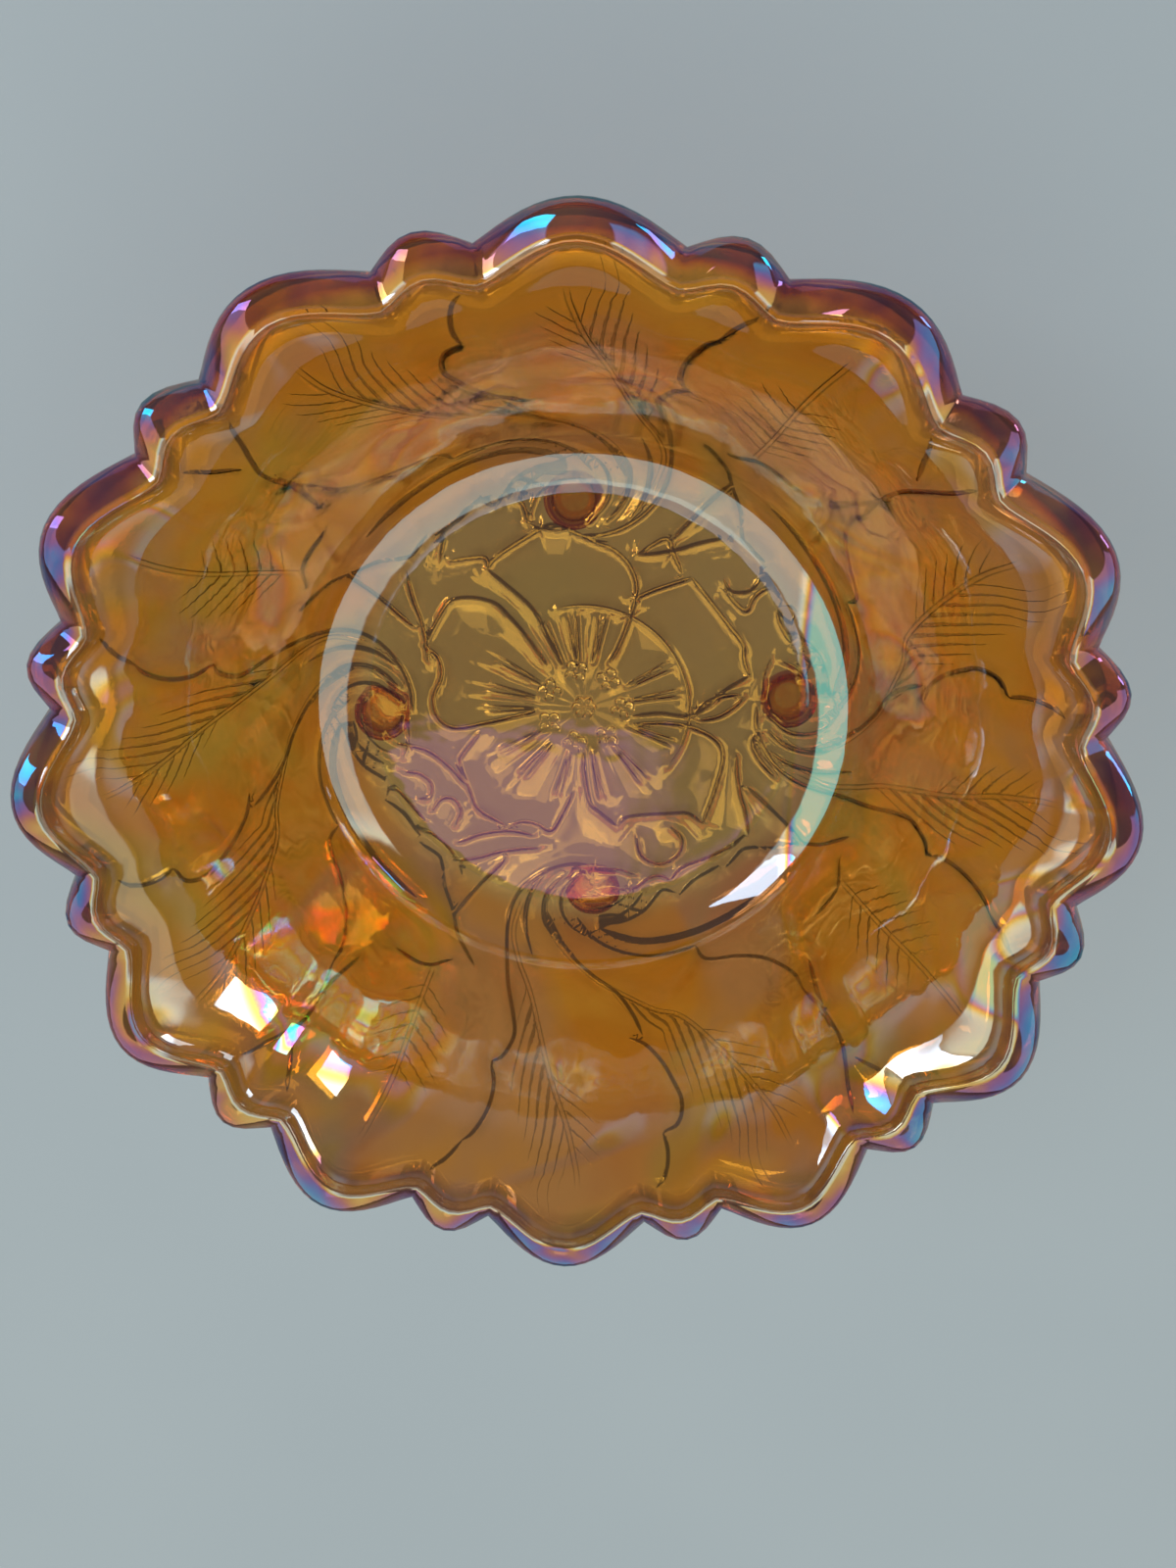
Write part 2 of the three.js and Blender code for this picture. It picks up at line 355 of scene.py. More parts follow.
# The flower in the middle: edges of its five petals and of the leaves and scrolls behind them, as x and y.
PETAL_EDGES = (
    ((-12, 14), (-19, 24), (-24.7, 30.5), (-29, 34.4), (-36, 36), (-42.6, 35), (-46.3, 30.5), (-52, 20)),
    ((-52, 20), (-47.5, 16), (-46.5, 9.7), (-49.4, 2), (-48, -4.5), (-42.6, -7.8), (-31.5, -5.6),
     (-16, -1.5)),
    ((-8, 16), (-12, 24), (-17, 33), (-26, 41), (-31.2, 45)),
    ((-31.2, 45), (-28, 49.5), (-14, 58.5), (-9, 59.3), (2, 55), (9, 52), (14, 47), (16.2, 40),
     (14.5, 31), (11, 21), (8, 15.5)),
    ((14.8, 36.6), (21.6, 40), (33.3, 44.2)),
    ((33.3, 44.2), (38.3, 38.3), (46.3, 28.6), (50.8, 23), (51.5, 18), (53.4, 12.5)),
    ((53.4, 12.5), (46, 7.5), (36, -1.3), (25, -1), (16, -2.2)),
    ((16, -5), (27, -4.2), (36, -5.6), (44, -9.7), (46.6, -16), (44.5, -28), (41, -40)),
    ((41, -40), (36, -36.5), (30, -36.6), (16, -38.2), (12, -42)),
    ((12, -42), (6, -37), (2.5, -33.5), (0.6, -24), (0, -15.5)),
    ((-34, -9.5), (-40, -17.5), (-41, -21), (-38, -30), (-35, -37), (-25.5, -43)),
    ((-25.5, -43), (-20, -41), (-15, -42), (-10.5, -44), (-7, -38), (-3.5, -30)),
)
SCROLL_EDGES = (
    ((-43.2, 47.4), (-37, 48.6), (-31.5, 48.7), (-31.1, 45)),
    ((-46.3, 47), (-44.5, 55), (-41.4, 60.4), (-34, 66.5), (-26.5, 68.5), (-20.4, 66.5), (-18, 60)),
    ((15.8, 51), (24.7, 56.2), (27.5, 51), (30.2, 45.6)),
    ((42, 57), (48, 56.6), (53, 52), (55, 46), (52, 40.5), (46, 40), (43, 44)),
    ((44.5, 39.5), (48, 36), (51.2, 34), (53, 38.3), (57.4, 41.4), (62, 38)),
    ((62, 38), (61.5, 32), (64, 27), (67, 23)),
    ((36, -1), (40, 3.2), (45, 5.4), (51, 6.4)),
    ((38, -3), (44, -1.5), (49, 2), (52, 5.5)),
    ((58, -6), (56, -10), (58.6, -16), (64, -22)),
    ((-62, -14), (-52.5, -16), (-45, -21.5), (-39.5, -28)),
    ((-60, -24), (-55, -24.5), (-51, -28), (-51.5, -33), (-56, -34)),
    ((-51, -38), (-48, -33.5), (-43.5, -33.5), (-41, -38), (-43, -43)),
    ((-42.6, -49.7), (-34, -46), (-24.5, -44.6), (-16.7, -46)),
    ((-65, -28), (-58.6, -35.7), (-53.7, -41.8)),
    ((-54.5, -44.5), (-47.5, -50), (-42.6, -57), (-41.4, -62)),
    ((31, -61.5), (35, -56.5), (43.8, -52.4), (50, -48.7), (58, -42)),
    ((13, -66), (19, -65), (22.8, -61.5), (27, -60), (31, -61.5)),
    ((19, -46), (21, -52.5), (27, -55.5), (33, -52), (34, -46), (30, -41.5)),
)
FOLD_ANGLES = (168, 150, 182, 98, 80, 116, 30, 12, -20, -50, -78, -105, -130, -150)
FOLD_SPREADS = (5, 4, 4, 5, 4, 4, 5, 4, 4, 5, 3, 4, 5, 3)
FOLD_RADII = (16, 20, 25, 31)
PETAL_RING = 34.5  # radius of the fine ring across three of the petals


def round_point(radius, angle, x=0.0, y=0.0):
    """A point at a radius and an angle from a middle."""
    return x + radius * math.cos(angle), y + radius * math.sin(angle)


def flower_pattern():
    edges = [flower_line(points, 0.55) for points in PETAL_EDGES + SCROLL_EDGES]
    ring = [round_point(PETAL_RING, a) for a in np.radians(np.arange(-35, 110, 10))]
    folds = [flower_line(ring, 0.25, (12, 12))]
    for turn, spread in zip(FOLD_ANGLES, FOLD_SPREADS):
        for side in (-1, 1):
            lean = side * spread / 200 / FOLD_RADII[0]
            fold = [round_point(r, math.radians(turn) + lean * r) for r in FOLD_RADII]
            folds.append(flower_line(fold, 0.4, (2, 9)))
    return edges + folds


BEAD_RING_RADIUS = 12.5
BEAD_CLUSTERS = 7
BEAD_RADIUS = 1.5
MIDDLE_BEADS_RADIUS = 2.4
CLUSTER_RADIUS = 2.3
CLUSTER_ANGLES = (20, 110, 200, 290)


def beads():
    """Middles of the small round beads in the heart of the flower, as x and y."""
    centres = [(0.0, 0.0)] + [round_point(MIDDLE_BEADS_RADIUS, a) for a in np.radians(np.arange(0, 360, 60))]
    for k in range(BEAD_CLUSTERS):
        turn = 2 * math.pi * k / BEAD_CLUSTERS
        x, y = round_point(BEAD_RING_RADIUS, turn)
        centres += [round_point(CLUSTER_RADIUS, turn + math.radians(a), x, y) for a in CLUSTER_ANGLES]
    return np.array(centres)


def nearest_line(lines, places):
    """For each place and the nearest line: distance to its left, plain distance, its half width there,
    the run along it, and its number."""
    joined = np.vstack([line.places for line in lines])
    left = np.vstack([line.left for line in lines])
    width = np.concatenate([line.width for line in lines])
    run = np.concatenate([line.run for line in lines])
    number = np.repeat(np.arange(len(lines)), [len(line.run) for line in lines])
    tree = KDTree(len(joined))
    for i, place in enumerate(joined):
        tree.insert(place, i)
    tree.balance()
    found = [tree.find(place) for place in places]
    index = np.array([f[1] for f in found])
    signed = np.einsum("ij,ij->i", places - joined[index], left[index])
    return np.stack([signed, np.array([f[2] for f in found]), width[index], run[index], number[index]], -1)


def groove(distance, width):
    return np.exp(-((distance / width) ** 2))


# Depths of the pressed pattern.
EDGE_STEP = 0.3  # one side of an edge stands higher than the other, fading away from it
PILLOW = 0.45  # the faces between edges swell by this much
EDGE_DEPTH = 0.5
RIB_HEIGHT = 0.4
STROKE_DEPTH = 0.3


def relief(edge, rib, strokes, places):
    """Height of the pressed pattern above the plain outer surface."""
    step = EDGE_STEP * np.sign(edge[:, 0]) * (1 - groove(edge[:, 0], 0.6)) * np.exp(-edge[:, 1] / 4)
    height = step + PILLOW * (1 - groove(edge[:, 1], 6)) - EDGE_DEPTH * groove(edge[:, 1], 0.9)
    height += RIB_HEIGHT * groove(rib[:, 1], 1.3) - STROKE_DEPTH * stroke_depth(strokes)
    heart = np.hypot(places[:, 0], places[:, 1]) < 1.5 * BEAD_RING_RADIUS
    away = np.linalg.norm(places[heart, None, :2] - beads()[None], axis=2).min(1)
    height[heart] += np.sqrt(np.clip(BEAD_RADIUS**2 - away**2, 0, None))
    return height


# ---------------------------------------------------------------- pieces

def spin_round(bm, steps):
    """Turns the open chain in the bmesh round the axis and closes it."""
    bmesh.ops.spin(
        bm, geom=bm.verts[:] + bm.edges[:], cent=(0, 0, 0), axis=(0, 0, 1), angle=2 * math.pi, steps=steps,
        use_merge=True,
    )
    bmesh.ops.remove_doubles(bm, verts=bm.verts, dist=0.001)


def chain(bm, points):
    verts = [bm.verts.new((x, 0, z)) for x, z in points]
    for a, b in zip(verts, verts[1:]):
        bm.edges.new((a, b))
    return verts


TOUCH = 1e-6  # two places along the section are the same when they are this near


def on_a_ring(edge, layer):
    return abs(edge.verts[0][layer] - edge.verts[1][layer]) < TOUCH


def halve_steps(bm, layer, low, high):
    """Halves the steps round the bowl on the stretch of the section from low to high."""
    rings = [
        e for e in bm.edges
        if on_a_ring(e, layer) and low - TOUCH < e.verts[0][layer] < high + TOUCH
    ]
    bmesh.ops.subdivide_edges(bm, edges=rings, cuts=1)


def halve_rows(bm, layer, low, high):
    """Halves the steps along the section on its stretch from low to high."""
    rows = [
        e for e in bm.edges
        if not on_a_ring(e, layer) and all(low < v[layer] < high + TOUCH for v in e.verts)
    ]
    bmesh.ops.subdivide_edges(bm, edges=rows, cuts=1)


def finished_piece(bm, name, material):
    bmesh.ops.recalc_face_normals(bm, faces=bm.faces)
    for face in bm.faces:
        face.smooth = True
    mesh = bpy.data.meshes.new(name)
    bm.to_mesh(mesh)
    bm.free()
    mesh.materials.append(material)
    piece = bpy.data.objects.new(name, mesh)
    bpy.context.scene.collection.objects.link(piece)
    return piece


def read(mesh, name):
    values = np.zeros(len(mesh.vertices), np.float32)
    mesh.attributes[name].data.foreach_get("value", values)
    return values.astype(float)


def write(mesh, name, values):
    values = np.asarray(values, np.float32)
    kind, field = ("FLOAT", "value") if values.ndim == 1 else ("FLOAT_VECTOR", "vector")
    attribute = mesh.attributes.get(name) or mesh.attributes.new(name, kind, "POINT")
    attribute.data.foreach_set(field, values.ravel())


FAR_AWAY = 99.0  # distance to the pattern on the inside of the bowl, where there is none
PATTERN_START = stretch_at("under") + 0.3  # the pattern fades in from here, under the band


def spun_bowl(material):
    """The bowl's shell with plain round rings. Its attribute along gives each point's place on the section."""
    bm = bmesh.new()
    layer = bm.verts.layers.float.new("along")
    along = [i + np.arange(STEPS[name]) / STEPS[name] for i, name in enumerate(STRETCHES)]
    along = np.concatenate(along + [[len(STRETCHES)]])
    point, _ = on_section(along, np.zeros(len(along)))
    for vertex, value in zip(chain(bm, point), along):
        vertex[layer] = value
    spin_round(bm, MERIDIANS)
    # The base grows coarser towards its middle, and its beaded heart has rows twice as close.
    base = stretch_at("base")
    halve_steps(bm, layer, stretch_at("fillet"), base + 0.72)
    halve_steps(bm, layer, stretch_at("under"), base + 0.45)
    halve_rows(bm, layer, base + 0.74, len(STRETCHES))
    return finished_piece(bm, "pressed_glass_bowl", material)


def press_pattern(mesh, outside, place):
    """Writes where the pattern's lines run, and gives the height of its relief on the outside."""
    edges, ribs = flower_pattern(), []
    for foot in FOOT_ANGLES:
        more_edges, more_ribs = leaf_pattern(foot)
        edges += more_edges
        ribs += more_ribs
    edge = nearest_line(edges, place[outside])
    rib = nearest_line(ribs, place[outside])
    strokes = strokes_beside(ribs, rib)
    families = (("edge_line", edge, FAR_AWAY), ("rib_line", rib, FAR_AWAY), ("strokes", strokes, 0.0))
    for name, values, elsewhere in families:
        everywhere = np.full((len(place), 3), elsewhere)
        everywhere[outside] = values[:, :3]
        write(mesh, name, everywhere)
    return relief(edge, rib, strokes, place[outside])


def make_bowl(material):
    piece = spun_bowl(material)
    mesh = piece.data
    along = read(mesh, "along")
    place = np.zeros(len(mesh.vertices) * 3, np.float32)
    mesh.vertices.foreach_get("co", place)
    place = place.reshape(-1, 3).astype(float)
    angle = np.arctan2(place[:, 1], place[:, 0])
    point, normal = on_section(along, angle)
    place, normal = in_space(point, angle), in_space(normal, angle)

    outside = along >= PATTERN_START
    height = press_pattern(mesh, outside, place)
    fade = np.clip((along[outside] - PATTERN_START) / 0.7, 0, 1)
    place[outside] += normal[outside] * (height * fade)[:, None]

    # The band's darker colour, painted shade and painted purple reflection, starts at its inner edge and fades
    # out on its underside.
    band = np.clip((along - stretch_at("band")) / 0.1, 0, 1)
    write(mesh, "band", band * np.clip((stretch_at("under") + 0.5 - along) / 0.3, 0, 1))
    crest = stretch_at("crest")
    write(mesh, "round_edge", np.clip((along - crest) / (stretch_at("under") - crest), 0, 1))
    write(mesh, "outer_face", outside.astype(float))
    mesh.vertices.foreach_set("co", (place * MM).astype(np.float32).ravel())
    mesh.update()
    return piece


FOOT_GROUND_RADIUS = 5.0
FOOT_EDGE_ROUNDING = 0.7
FOOT_STEPS = 56
FOOT_PROFILE_POINTS = 18


def make_foot(node, name, material):
    """A squashed ball foot with a rounded standing edge, spun round its own axis."""
    low, high = (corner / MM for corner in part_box(node))
    middle = (low + high) / 2
    radius, height = (high.x - low.x) / 2, high.z - low.z
    centre = math.sqrt(radius**2 - FOOT_GROUND_RADIUS**2)
    start, end = math.atan2(-centre, FOOT_GROUND_RADIUS), math.asin((height - centre) / radius)
    angles = np.linspace(start, end, FOOT_PROFILE_POINTS)
    ball = [(radius * math.cos(a), centre + radius * math.sin(a)) for a in angles]
    flat = [(FOOT_GROUND_RADIUS * t, 0) for t in (0, 0.4, 0.8)]
    top = [(ball[-1][0] * t, height) for t in (0.85, 0.4, 0)]
    bm = bmesh.new()
    chain(bm, flat + ball + top)
    spin_round(bm, FOOT_STEPS)
    corners = {v for v in bm.verts if v.co.z < 1e-6 and math.hypot(v.co.x, v.co.y) > FOOT_GROUND_RADIUS - 1e-4}
    bmesh.ops.bevel(
        bm, geom=[e for e in bm.edges if corners.issuperset(e.verts)], offset=FOOT_EDGE_ROUNDING,
        offset_type="OFFSET", segments=3, profile=0.5, affect="EDGES", material=-1,
    )
    bmesh.ops.translate(bm, verts=bm.verts, vec=(middle.x, middle.y, low.z))
    bmesh.ops.scale(bm, verts=bm.verts, vec=(MM, MM, MM))
    piece = finished_piece(bm, name, material)
    place = np.array([v.co for v in piece.data.vertices]) / MM
    write(piece.data, "from_middle", np.hypot(place[:, 0] - middle.x, place[:, 1] - middle.y) / radius)
    return piece


# ---------------------------------------------------------------- finishes

class Finish:
    """A material or a world, made node by node. Each call gives back the output that it made."""

    def __init__(self, name, kind=bpy.data.materials, coordinates="Object"):
        self.made = kind.new(name)
        self.made.use_nodes = True
        self.tree = self.made.node_tree
        self.tree.nodes.clear()
        self.where = self.node("TexCoord").outputs[coordinates]

    def node(self, kind, inputs=None, **settings):
        made = self.tree.nodes.new("ShaderNode" + kind)
        for key, value in settings.items():
            setattr(made, key, value)
        for key, value in (inputs or {}).items():
            if isinstance(value, bpy.types.NodeSocket):
                self.tree.links.new(value, made.inputs[key])
            else:
                made.inputs[key].default_value = value
        return made

    def math(self, operation, *values):
        return self.node("Math", dict(enumerate(values)), operation=operation).outputs[0]

    def ramp(self, value, low, high, to_low=0.0, to_high=1.0):
        inputs = {"Value": value, "From Min": low, "From Max": high, "To Min": to_low, "To Max": to_high}
        return self.node("MapRange", inputs, interpolation_type="SMOOTHSTEP").outputs["Result"]

    def noise(self, scale, detail=2.0, distortion=0.0, shift=None):
        where = self.node("Mapping", {0: self.where, 1: shift}).outputs[0] if shift else self.where
        inputs = {"Vector": where, "Scale": scale, "Detail": detail, "Distortion": distortion}
        return self.node("TexNoise", inputs).outputs["Fac"]

    def mix(self, share, a, b):
        """A colour between two."""
        made = self.node("Mix", data_type="RGBA")
        for index, value in ((0, share), (6, a), (7, b)):
            if isinstance(value, bpy.types.NodeSocket):
                self.tree.links.new(value, made.inputs[index])
            else:
                made.inputs[index].default_value = value
        return made.outputs[2]

    def blend(self, share, a, b):
        """A plain value between two."""
        return self.node("Mix", {0: share, 2: a, 3: b}).outputs[0]

    def attribute(self, name, output="Fac"):
        return self.node("Attribute", attribute_name=name).outputs[output]

    def parts(self, vector):
        return self.node("SeparateXYZ", {0: vector}).outputs

    def line(self, name, soft, spread=0.0, reach=1.25, thicker=0.0):
        """1 on the lines of a family and 0 off them; spread parts each line in two."""
        signed, plain, width = self.parts(self.attribute(name, "Vector"))
        away = self.math("ABSOLUTE", signed)
        if spread:
            away = self.math("ABSOLUTE", self.math("SUBTRACT", away, spread))
        beyond = self.math("SUBTRACT", self.math("SUBTRACT", away, width), thicker)
        drawn = self.ramp(beyond, soft, -soft)
        near = self.ramp(plain, reach + spread + 0.3, reach + spread)
        some = self.ramp(width, 0.0, 0.12)
        return self.math("MULTIPLY", self.math("MULTIPLY", drawn, near), some)

    def finish(self, surface, volume=None, kind="OutputMaterial"):
        output = self.node(kind, {"Surface": surface})
        if volume:
            self.tree.links.new(volume, output.inputs["Volume"])
        return self.made


def colour(red, green, blue):
    return (red, green, blue, 1.0)


# Thickness of the lustre's film in nanometres, and the colour that it gives a reflection.
FILM_CLEAR = 20.0
FILM_SILVER = 27.0
FILM_GOLD = 115.0
FILM_MAUVE = 126.0
FILM_BLUE = 190.0
FILM_TEAL = 195.0
FILM_GREEN = 197.0

FLOOR_RIM = 0.070  # radius in metres at which the floor turns up into the side
GLINT_PATCH = (-0.070, -0.072, 0.055)  # middle of the patch where the film is thick enough to look green


def pressed_lines(f, outer, radius):
    """Painted shade in the pattern's lines, and the height of the glass's fine grain and waves."""
    # Painted shade: the pressed lines are darkened, standing in for the shade their grooves show by refraction.
    edge = f.line("edge_line", 0.25, thicker=0.1)
    rib = f.line("rib_line", 0.18, spread=0.75)
    count, width, spacing = f.parts(f.attribute("strokes", "Vector"))
    across = f.math("ABSOLUTE", f.math("SUBTRACT", f.math("FRACT", count), 0.5))
    ragged = f.math("MULTIPLY", f.math("SUBTRACT", f.noise(420), 0.5), f.math("MULTIPLY", width, 1.3))
    beyond = f.math("ADD", f.math("SUBTRACT", f.math("MULTIPLY", across, spacing), width), ragged)
    vein = f.math("MULTIPLY", f.ramp(beyond, 0.25, -0.25), f.ramp(width, 0.03, 0.2))
    painted_line_shade = f.math("MAXIMUM", edge, f.math("MULTIPLY", rib, 0.75))
    painted_line_shade = f.math("MAXIMUM", painted_line_shade, f.math("MULTIPLY", vein, 0.8))

    stipple = f.ramp(f.noise(9, 2, 0.5, shift=(3, 8, 4)), 0.5, 0.6)
    stipple = f.math("MULTIPLY", f.math("MULTIPLY", stipple, outer), f.ramp(radius, 0.05, 0.08))
    grains = f.math("MULTIPLY", f.noise(900), stipple)
    lines = f.math("ADD", f.math("ADD", edge, rib), vein)
    height = f.math("SUBTRACT", f.math("MULTIPLY", grains, 0.35), f.math("MULTIPLY", lines, 0.5))
    return painted_line_shade, f.math("ADD", height, f.noise(55))


def amber_colour_and_painted_shading(f, band, radius, painted_line_shade):
    """The glass's colour, cloudy amber, with painted light and shade: the floor is paler as painted light; the
    band's plum brown is painted shade and painted reflection; the halos beside the edges and the dark lines are
    painted shade.
    """
    clouds = f.ramp(f.noise(22, 3, 0.6), 0.35, 0.65)
    olive = f.ramp(f.noise(13, 2, 1.2, shift=(1, 3, 2)), 0.5, 0.66)
    rose = f.ramp(f.noise(16, 2, 0.8, shift=(5, 2, 7)), 0.48, 0.62)
    colour_and_painted_shading = f.mix(clouds, colour(0.96, 0.37, 0.035), colour(0.86, 0.27, 0.018))
    colour_and_painted_shading = f.mix(f.math("MULTIPLY", olive, 0.6), colour_and_painted_shading, colour(0.62, 0.40, 0.05))
    colour_and_painted_shading = f.mix(f.math("MULTIPLY", rose, 0.5), colour_and_painted_shading, colour(0.62, 0.28, 0.15))
    # Painted light: the inner floor is given a paler colour than the same glass elsewhere, to brighten it where
    # the floor beneath lies in the bowl's shadow.
    floor = f.ramp(radius, FLOOR_RIM + 0.010, FLOOR_RIM)
    colour_and_painted_shading = f.mix(f.math("MULTIPLY", floor, 0.8), colour_and_painted_shading, colour(1.0, 0.60, 0.17))
    # Painted shade: a soft, patchy dark halo beside the pattern's edges, where the relief's grooves would throw
    # shade.
    near_edge = f.parts(f.attribute("edge_line", "Vector"))[1]
    shade = f.math("MULTIPLY", f.ramp(near_edge, 5.0, 0.4), f.ramp(f.noise(45, 3), 0.42, 0.62))
    colour_and_painted_shading = f.mix(f.math("MULTIPLY", shade, 0.55), colour_and_painted_shading, colour(0.30, 0.12, 0.02))
    # Painted shade and painted reflection: the band is coloured dark plum brown, standing in for the darkness
    # and purple lustre its rounded rim shows.
    band_painted_shade = f.mix(f.ramp(f.noise(60), 0.4, 0.6), colour(0.13, 0.045, 0.065), colour(0.34, 0.13, 0.05))
    colour_and_painted_shading = f.mix(band, colour_and_painted_shading, band_painted_shade)
    # Painted shade: the pattern's lines are darkened nearly to black.
    return f.mix(f.math("MULTIPLY", painted_line_shade, 0.95), colour_and_painted_shading, colour(0.012, 0.006, 0.005))


def lustre_film(f, band, radius, x):
    """Thickness of the film: swirls on the side, an even one on the floor, and bright colours on the band."""
    film = f.ramp(f.noise(16, 2, 1.5, shift=(4, 4, 9)), 0.48, 0.70, FILM_CLEAR, FILM_BLUE)
    film = f.blend(f.ramp(radius, 0.085, 0.100), FILM_SILVER, film)
    right = f.math("MULTIPLY", f.ramp(x, 0.066, 0.072), f.ramp(radius, 0.105, 0.085))
    film = f.math("ADD", film, f.math("MULTIPLY", right, 150.0))
    from_patch = f.node("VectorMath", {0: f.where, 1: GLINT_PATCH}, operation="DISTANCE").outputs["Value"]
    film = f.math("ADD", film, f.ramp(from_patch, 0.052, 0.026, 0.0, FILM_GREEN - FILM_SILVER))
    film = f.blend(f.ramp(radius, FLOOR_RIM + 0.0005, FLOOR_RIM - 0.0005), film, FILM_MAUVE)
    round_edge = f.ramp(f.attribute("round_edge"), 0.15, 1.0, FILM_GOLD, FILM_TEAL)
    drift = f.ramp(f.noise(30, 2, 1.0), 0.3, 0.7, -20.0, 25.0)
    return f.blend(band, film, f.math("ADD", round_edge, drift))


def lustre_glass():
    f = Finish("amber_lustre_glass")
    x, y, _ = f.parts(f.where)
    radius = f.math("SQRT", f.math("ADD", f.math("MULTIPLY", x, x), f.math("MULTIPLY", y, y)))
    band = f.attribute("band")
    painted_line_shade, height = pressed_lines(f, f.attribute("outer_face"), radius)
    bump = f.node("Bump", {"Height": height, "Strength": 0.5, "Distance": 0.0004}).outputs[0]
    shader = f.node("BsdfPrincipled", {
        "Base Color": amber_colour_and_painted_shading(f, band, radius, painted_line_shade),
        "Roughness": 0.03,
        "IOR": 1.5,
        "Transmission Weight": 1.0,
        "Thin Film Thickness": lustre_film(f, band, radius, x),
        "Thin Film IOR": 2.1,
        "Normal": bump,
    })
    volume = f.node("VolumeAbsorption", {"Color": colour(0.95, 0.75, 0.30), "Density": 25.0})
    return f.finish(shader.outputs[0], volume.outputs[0])


def foot_glass():
    f = Finish("deep_amber_foot_glass")
    clouds = f.ramp(f.noise(160, 2, 0.6), 0.35, 0.65)
    colour_and_painted_shading = f.mix(clouds, colour(1.0, 0.58, 0.10), colour(1.0, 0.44, 0.05))
    # Painted shade: each foot darkens to crimson towards its rim, standing in for the darkness at the ball's
    # edge.
    colour_and_painted_shading = f.mix(f.ramp(f.attribute("from_middle"), 0.52, 0.84), colour_and_painted_shading, colour(0.20, 0.01, 0.05))
    bump = f.node("Bump", {"Height": f.noise(500), "Strength": 0.2, "Distance": 0.0003}).outputs[0]
    shader = f.node("BsdfPrincipled", {
        "Base Color": colour_and_painted_shading,
        "Roughness": 0.04,
        "IOR": 1.5,
        "Transmission Weight": 1.0,
        "Thin Film Thickness": f.ramp(f.noise(70), 0.3, 0.7, 35.0, 80.0),
        "Thin Film IOR": 2.0,
        "Normal": bump,
    })
    volume = f.node("VolumeAbsorption", {"Color": colour(0.95, 0.65, 0.25), "Density": 12.0})
    return f.finish(shader.outputs[0], volume.outputs[0])


def floor_finish():
    f = Finish("pale_floor")
    tone = f.mix(f.ramp(f.noise(3, 3), 0.3, 0.7), colour(0.13, 0.165, 0.195), colour(0.15, 0.185, 0.215))
    shader = f.node("BsdfPrincipled", {
        "Base Color": tone,
        "Roughness": 0.6,
        "Emission Color": colour(0.75, 0.82, 0.90),
        "Emission Strength": 0.28,
    })
    return f.finish(shader.outputs[0])


# ---------------------------------------------------------------- the scene

CAMERA_PLACE = (12.42, 126.47, 394.9)  # millimetres
CAMERA_TURN = (-21.79, 1.98, 0.99)  # degrees: it looks down into the bowl, leaning from the side of the top lobe


def make_camera():
    data = bpy.data.cameras.new("camera")
    data.lens = 28.125
    data.sensor_width = 36.0
    data.clip_start = 0.01
    camera = bpy.data.objects.new("camera", data)
    camera.rotation_euler = [math.radians(a) for a in CAMERA_TURN]
    camera.location = [x * MM for x in CAMERA_PLACE]
    bpy.context.scene.collection.objects.link(camera)
    bpy.context.scene.camera = camera


FLOOR_HALF_WIDTH = 6.0  # metres


def make_floor():
    bm = bmesh.new()
    bmesh.ops.create_grid(bm, x_segments=1, y_segments=1, size=FLOOR_HALF_WIDTH)
    floor = finished_piece(bm, "floor", floor_finish())


def softbox(name, place, aim, width, height, power, tint):
    """A rectangular lamp at a place, in metres, that faces another."""
    data = bpy.data.lights.new(name, "AREA")
    data.shape = "RECTANGLE"
    data.size = width
    data.size_y = height
    data.energy = power
    data.color = tint
    lamp = bpy.data.objects.new(name, data)
    lamp.location = place
    lamp.rotation_euler = (Vector(aim) - Vector(place)).to_track_quat("-Z", "Y").to_euler()
    bpy.context.scene.collection.objects.link(lamp)


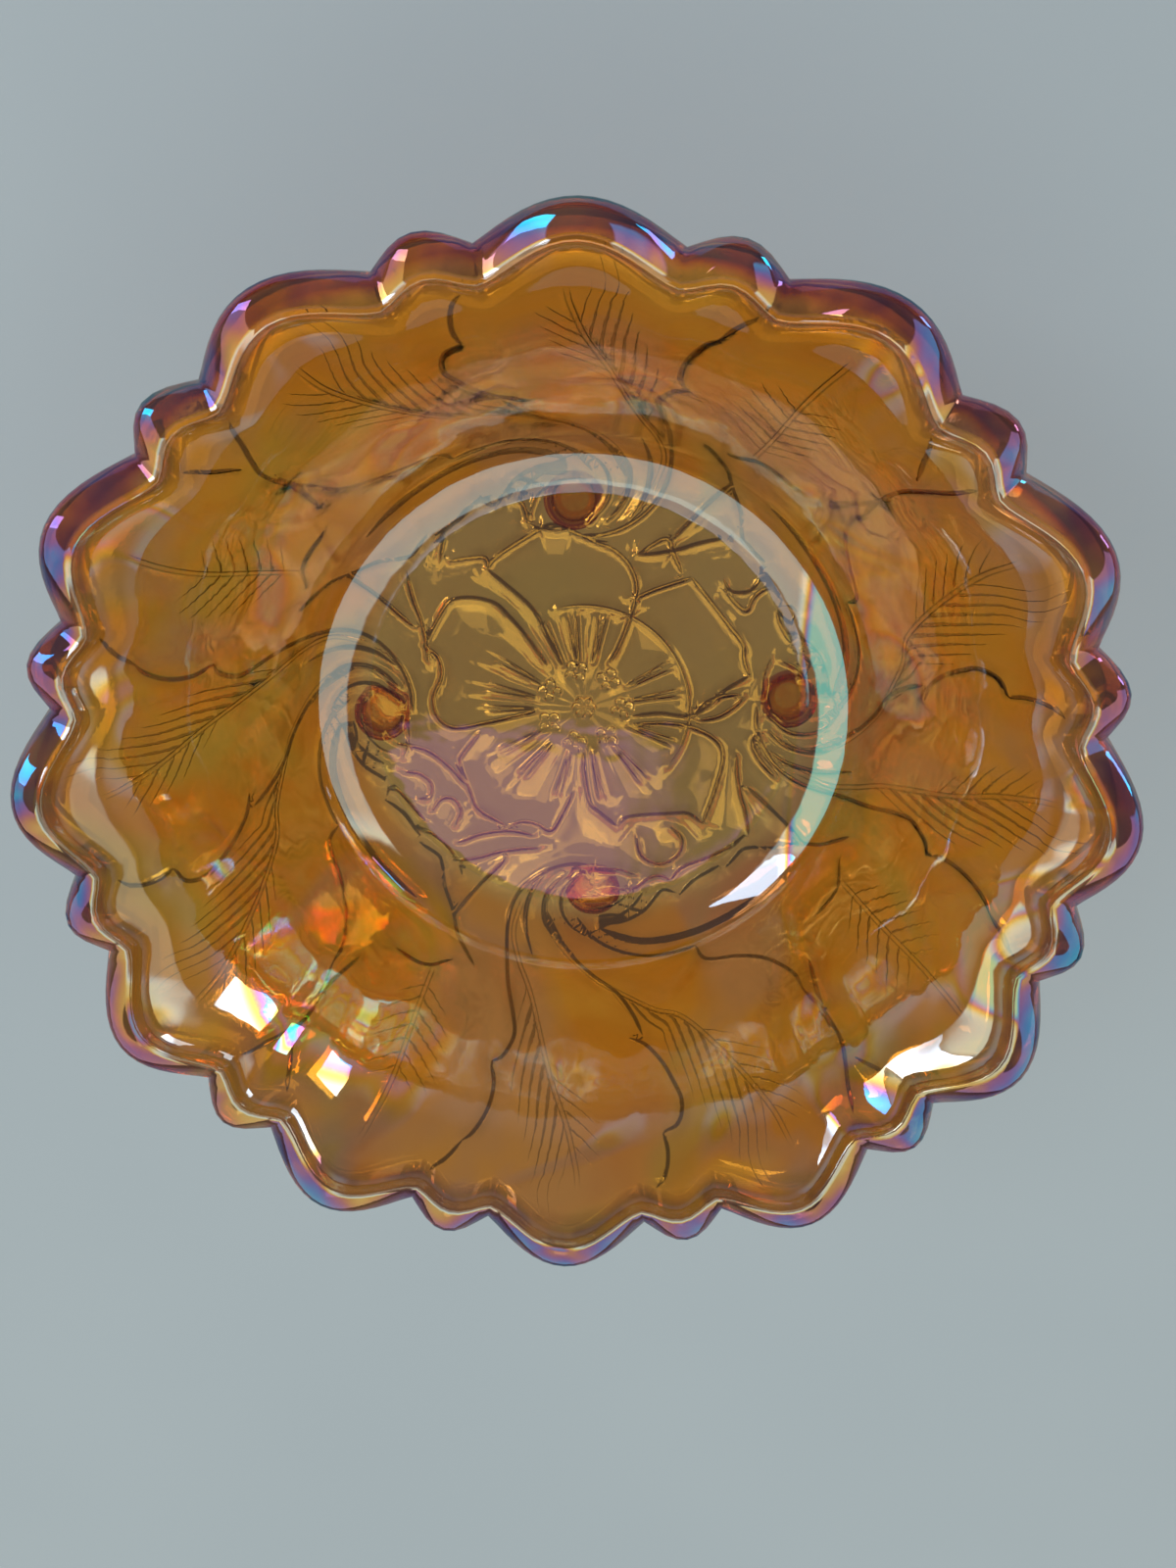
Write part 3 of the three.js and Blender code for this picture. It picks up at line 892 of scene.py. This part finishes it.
def make_surroundings():
    """A dim studio with a pale horizon, a bright wall behind that the bowl mirrors as a ring, and a pale
    ceiling panel that its floor mirrors."""
    f = Finish("studio", bpy.data.worlds, "Generated")
    x, y, z = f.parts(f.where)
    level = f.math("SQRT", f.math("ADD", f.math("MULTIPLY", x, x), f.math("MULTIPLY", y, y)))
    ahead = f.math("DIVIDE", f.math("MULTIPLY", y, -1.0), f.math("MAXIMUM", level, 0.001))
    wall = f.math("MULTIPLY", f.ramp(z, 0.87, 0.85), f.ramp(z, 0.34, 0.38))
    wall = f.math("MULTIPLY", wall, f.ramp(ahead, -0.30, -0.20))
    high = f.math("MAXIMUM", z, 0.01)
    across, forward = f.math("DIVIDE", x, high), f.math("DIVIDE", y, high)
    length = f.math("MULTIPLY", f.ramp(forward, -0.350, -0.368), f.ramp(forward, -0.72, -0.70))
    width = f.math("MULTIPLY", f.ramp(across, -0.25, -0.23), f.ramp(across, 0.08, -0.02))
    panel = f.math("MULTIPLY", length, width)
    light = f.math("ADD", f.math("MULTIPLY", wall, 1.7), f.math("MULTIPLY", panel, 0.9))
    horizon = f.ramp(z, 0.30, 0.12, 0.0, 0.36)
    light = f.math("ADD", f.math("MAXIMUM", light, horizon), 0.10)
    tint = f.mix(wall, colour(0.86, 0.93, 1.0), colour(0.93, 1.0, 0.80))
    background = f.node("Background", {"Color": tint, "Strength": light})
    bpy.context.scene.world = f.finish(background.outputs[0], kind="OutputWorld")
    bpy.context.scene.view_settings.view_transform = "Standard"


def make_lights():
    softbox("window", (-1.35, 0.55, 1.37), (0, 0, 0.05), 0.5, 1.2, 12, (0.93, 0.98, 1.0))
    softbox("low_lamp", (1.3, 0.7, 0.46), (0, 0, 0.09), 0.35, 0.35, 3, (1.0, 0.98, 0.90))


bowl = make_bowl(lustre_glass())
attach(bowl, "root")
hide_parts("bowl")

foot_finish = foot_glass()
for node in FOOT_NODES:
    foot = make_foot(node, "ball_" + node, foot_finish)
    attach(foot, "root")
    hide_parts(node)

make_floor()
make_surroundings()
make_lights()
make_camera()
